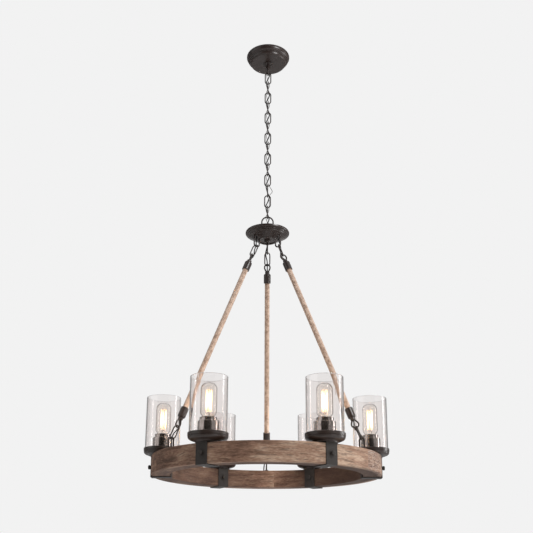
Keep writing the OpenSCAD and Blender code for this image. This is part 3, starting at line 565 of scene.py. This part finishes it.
def wood_finish():
    finish = Finish("oak", metallic=0.0)
    start = finish.start
    x, y, z = (start.node("ShaderNodeSeparateXYZ", inputs={"Vector": finish.place}, output=i) for i in "XYZ")
    bearing = start.maths("ARCTAN2", x, 0 - y)
    bearing = bearing - 2 * math.pi * start.maths("GREATER_THAN", bearing, last_seam)
    stave = start.maths("FLOOR", (bearing - first_seam) / stave_span)
    depth = start.maths("SQRT", x * x + y * y)
    run = bearing * ring_middle + stave * 3.1

    def unrolled(stretch, height):
        return start.node(
            "ShaderNodeCombineXYZ", inputs={"X": run / stretch, "Y": depth, "Z": height + stave * 1.7})

    knot_cell = start.node(
        "ShaderNodeTexVoronoi", {"voronoi_dimensions": "3D"},
        {"Vector": unrolled(2.6, z), "Scale": 13.0, "Randomness": 0.9}, "Distance")
    knot = 1 - finish.steps(knot_cell, 0.03, 0.30)
    lean = z + 0.012 * run + 0.003 * start.maths("SINE", run * 8) + 0.010 * knot
    figure = finish.noise(0.012, 4, unrolled(7, lean), 0.65)
    dashes = finish.noise(0.0038, 4, unrolled(10, lean), 0.65)
    flecks = finish.noise(0.0030, 3, unrolled(3.5, lean), 0.6)
    pores = finish.noise(0.0016, 2, unrolled(16, lean), 0.6)
    patch = finish.noise(0.06, 3, unrolled(1.8, z))
    outside = finish.steps(depth, ring_middle + 0.009, ring_middle + 0.019)
    # painted sheen: the front stave's outside is made lighter from the front round to the right, where the
    # soft boxes on the right graze it
    painted_sheen = finish.steps(bearing, math.radians(-12), math.radians(14)) * outside * finish.steps(
        stave, 0.6, 0.4)
    # painted shade: the outside is made darker towards the left, where it turns away from the light on the
    # right
    painted_left_shade = finish.steps(bearing, math.radians(-40), math.radians(-60)) * outside
    tone = figure * 1.15 + patch * 1.1 + dashes * 0.7 + flecks * 0.6 - 1.275 + painted_sheen * 0.19 - painted_left_shade * 0.16
    colour = finish.ramp(
        tone, (0.20, srgb(70, 50, 40)), (0.38, srgb(106, 78, 63)), (0.52, srgb(134, 102, 84)),
        (0.66, srgb(156, 124, 103)), (0.86, srgb(190, 162, 140)))
    colour = finish.mix(finish.steps(dashes, 0.53, 0.62) * 0.6, colour, srgb(62, 45, 36))
    colour = finish.mix(finish.steps(dashes, 0.46, 0.38) * 0.4, colour, srgb(168, 136, 112))
    colour = finish.mix(finish.steps(pores, 0.58, 0.70) * 0.35, colour, srgb(66, 49, 40))
    colour = finish.mix(knot ** 3 * 0.7, colour, srgb(50, 35, 28))
    pale = finish.steps(stave, 0.4, 0.6) * outside * finish.steps(flecks + 0.5 * patch, 0.66, 1.0)
    sideways = finish.steps(start.maths("ABSOLUTE", bearing), math.radians(178), math.radians(150))
    # painted shade: all that lies inward of the outer face is made darker, most on the right side that faces
    # away from the light, but not at the back
    painted_inner_shade = (1 - outside) * sideways * (0.55 + 0.3 * finish.steps(x, -0.05, 0.05))
    colour = finish.mix(pale * 0.75, colour, srgb(186, 172, 162))
    colour = finish.mix(painted_inner_shade, colour, srgb(62, 43, 34))
    finish.set("Base Color", colour)
    finish.set("Roughness", 0.6 + 0.2 * pores)
    finish.set("Specular IOR Level", 0.3)
    finish.bump(figure * 0.3 + dashes * 0.45 + pores * 0.25, 0.0014, 0.5)
    return finish.material


wood = wood_finish()
print("made", wood.name, "with", len(wood.node_tree.nodes), "nodes")


# %% [markdown]
# ## Glass
#
# The shades and the bulbs are clear, and clear glass is seen by its edges, its reflections and by what it
# bends. Both have a real wall in the solid model, so light is refracted twice on each side. A faint warm
# grey tint keeps them visible on the pale ground.

# %% Clear glass
def glass_finish(name, tint, spread=0.0):
    finish = Finish(name, metallic=0.0, ior=1.46, transmission_weight=1.0)
    film = finish.noise(0.03, 2)
    finish.set("Base Color", tint)
    finish.set("Roughness", spread + 0.01 * film)
    return finish.material


shade_glass = glass_finish("shade_glass", (0.940, 0.912, 0.903))
bulb_glass = glass_finish("bulb_glass", (0.985, 0.965, 0.945))


def filament_finish():
    finish = Finish("filament", roughness=0.5, emission_strength=5.0)
    z = finish.start.node("ShaderNodeSeparateXYZ", inputs={"Vector": finish.place}, output="Z")
    low, high = (corner.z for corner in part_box("bulb_filaments"))
    share = (z - low) / (high - low)
    finish.set("Base Color", (1.0, 0.8, 0.5))
    finish.set("Emission Color", finish.ramp(
        share, (0.0, (0.30, 0.12, 0.03)), (0.28, (1.0, 0.74, 0.42)), (0.72, (1.0, 0.74, 0.42)),
        (1.0, (0.30, 0.12, 0.03))))
    return finish.material


filament = filament_finish()
print("made", shade_glass.name, bulb_glass.name, "and", filament.name)

# %% [markdown]
# The wires are far thinner than a pixel and far brighter than paper. Light that finds them by chance shows
# as stray bright grains, so they give no light to other pieces. A small warm lamp inside each bulb does
# that instead, and the clear glass lets it out unshadowed. What spreads round a bright wire in a lens is
# added to the finished picture, as a bloom.

# %% Warm light from the bulbs
lamp_count = 6
filament_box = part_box("bulb_filaments")
glow_height = (filament_box[0].z + filament_box[1].z) / 2
for lamp in range(lamp_count):
    bearing = 2 * math.pi * lamp / lamp_count
    glow = bpy.data.lights.new(f"bulb_glow_{lamp + 1}", "POINT")
    glow.energy = 0.26
    glow.color = (1.0, 0.66, 0.36)
    glow.shadow_soft_size = 0.009
    glow_place = bpy.data.objects.new(glow.name, glow)
    glow_place.visible_glossy = False
    glow_place.visible_transmission = False
    glow_place.location = (ring_middle * math.cos(bearing), ring_middle * math.sin(bearing), glow_height)
    bpy.context.scene.collection.objects.link(glow_place)
    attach(glow_place, "fixture")
shades = [f"glass_shade_{i}" for i in range(1, lamp_count + 1)]
for node in ("bulb_filaments", "bulb_stems", "bulb_glasses", *shades):
    nodes[node].visible_shadow = False
nodes["bulb_filaments"].visible_diffuse = False
nodes["bulb_filaments"].visible_glossy = False

# %% Bloom
scene = bpy.context.scene
scene.use_nodes = True
picture = scene.node_tree
picture.nodes.clear()
rendered = picture.nodes.new("CompositorNodeRLayers")
bloom = picture.nodes.new("CompositorNodeGlare")
bloom.glare_type = "BLOOM"
finished = picture.nodes.new("CompositorNodeComposite")
for socket, value in (("Threshold", 1.05), ("Strength", 0.30), ("Size", 0.35), ("Saturation", 1.0)):
    bloom.inputs[socket].default_value = value
picture.links.new(rendered.outputs["Image"], bloom.inputs["Image"])
picture.links.new(bloom.outputs["Image"], finished.inputs["Image"])


# %% [markdown]
# ## Jute rope
#
# Each leg is a thick jute rope with a wire hidden inside. From close by, its yarn shows as round ridges in
# slanting turns, with fibres along them. Separate yarns would do, but they have ten times the faces of a
# skin that carries the ridges as a height on a cylinder, and the two look alike.

# %% Rope with ridged turns
def shaft(node):
    """The two end points and the radius of a straight round node, from its vertices."""
    points = np.array([v.co for v in nodes[node].data.vertices])
    middle = points.mean(axis=0)
    direction = np.linalg.svd(points - middle, full_matrices=False)[2][0]
    direction *= -np.sign(direction[2])
    reach = (points - middle) @ direction
    off_axis = np.linalg.norm(points - middle - np.outer(reach, direction), axis=1)
    return middle + direction * reach.min(), middle + direction * reach.max(), off_axis.max()


twine = 3.1 * mm
ridge_height = 0.26 * twine
fuzz = 0.12 * mm
rope_sides = 40
rows_per_turn = 6


def wound_rope(node):
    """The jute skin of one rope: a cylinder whose radius follows a one-start helix of round ridges."""
    top, foot, radius = shaft(node)
    length = np.linalg.norm(foot - top)
    heading = (foot - top) / length
    across = np.cross(heading, (0.0, 0.0, 1.0))
    across /= np.linalg.norm(across)
    beside = np.cross(heading, across)
    rows = int(length / twine * rows_per_turn)
    rings = []
    for row in range(rows + 1):
        run = length * row / rows
        ring = []
        for s in range(rope_sides):
            a = 2 * math.pi * s / rope_sides
            phase = (run / twine - s / rope_sides) % 1
            ridge = math.sqrt(max(0.0, 1 - (2 * phase - 1) ** 2))
            slack = fuzz * math.sin(run * 310 + 2 * a) * math.sin(run * 97 + 1.3)
            r = radius - ridge_height * (1 - ridge) + slack - fuzz
            ring.append(top + heading * run + r * (math.cos(a) * across + math.sin(a) * beside))
        rings.append(ring)
    piece = skin(node + "_jute", rings)
    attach(piece, "fixture")
    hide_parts(node)
    return piece


def jute_finish():
    finish = Finish("jute", metallic=0.0)
    patch = finish.noise(0.010, 3)
    fleck = finish.noise(0.0022, 3)
    fibre = finish.noise(0.0006, 2)
    tone = patch * 0.55 + fleck * 0.45
    colour = finish.ramp(
        tone, (0.32, srgb(116, 92, 76)), (0.42, srgb(170, 142, 123)), (0.53, srgb(201, 174, 155)),
        (0.70, srgb(224, 202, 184)))
    finish.set("Base Color", colour)
    finish.set("Roughness", 0.85)
    finish.set("Sheen Weight", 0.3)
    finish.bump(fleck * 0.6 + fibre * 0.4, 0.0006, 0.6)
    return finish.material


jute = jute_finish()
ropes = [wound_rope(node) for node in ("rope_rear", "rope_left", "rope_right")]
print("jute faces:", [len(rope.data.polygons) for rope in ropes])

# %% [markdown]
# ## Dressing the pieces
#
# Every node of the solid model names its finish in the record. One table joins those names to the
# materials above, so no piece can be forgotten.

# %% Finishes by the record's slots
finishes = {
    "bronze": bronze, "strap_iron": strap_iron, "fixing_steel": zinc, "ground_green": green_screw,
    "black_cord": sheath, "copper": copper, "jute": jute, "oak": wood, "gunmetal": gunmetal,
    "porcelain": porcelain, "cap_brass": brass, "bulb_glass": bulb_glass, "filament": filament,
    "shade_glass": shade_glass}


def dress(piece, slot):
    piece.data.materials.clear()
    piece.data.materials.append(finishes[slot])


for part in frame["record"]["subparts"]:
    dress(nodes[part["node"]], part["material_slot"])
for length in supply_lengths:
    dress(length, "black_cord")
for length in ground_lengths:
    dress(length, "copper")
for rope in ropes:
    dress(rope, "jute")

# %% [markdown]
# ## Felt and paper
#
# A card must darken what metal and glass mirror, and still not show. Light that comes straight from the
# camera, or has only passed through glass, has met no surface yet: its glossy and diffuse depths are 0, and
# the card is clear to it. All other light meets the felt.

# %% Felt and paper
for card in dark_cards:
    felt = Finish(card.name + "_felt", roughness=0.95)
    felt.set("Specular IOR Level", 0.0)
    pile = felt.noise(0.3, 2)
    felt.set("Base Color", felt.mix(pile, (card["shade"],) * 3, (card["shade"] * 1.2,) * 3))
    mirrored = felt.start.node("ShaderNodeLightPath", output="Glossy Depth")
    scattered = felt.start.node("ShaderNodeLightPath", output="Diffuse Depth")
    seen = felt.steps(mirrored + scattered, 0.4, 0.6)
    clear = felt.start.node("ShaderNodeBsdfTransparent")
    dull = Signal(felt.tree, felt.shader.outputs[0])
    either = felt.start.node("ShaderNodeMixShader", inputs={0: seen, 1: clear, 2: dull})
    felt.tree.links.new(either.socket, felt.tree.nodes["Material Output"].inputs["Surface"])
    card.data.materials.append(felt.material)

paper = Finish("paper", roughness=0.9)
paper.set("Base Color", paper.mix(paper.noise(0.4, 2), (0.80, 0.80, 0.80), (0.82, 0.82, 0.82)))
floor.data.materials.append(paper.material)
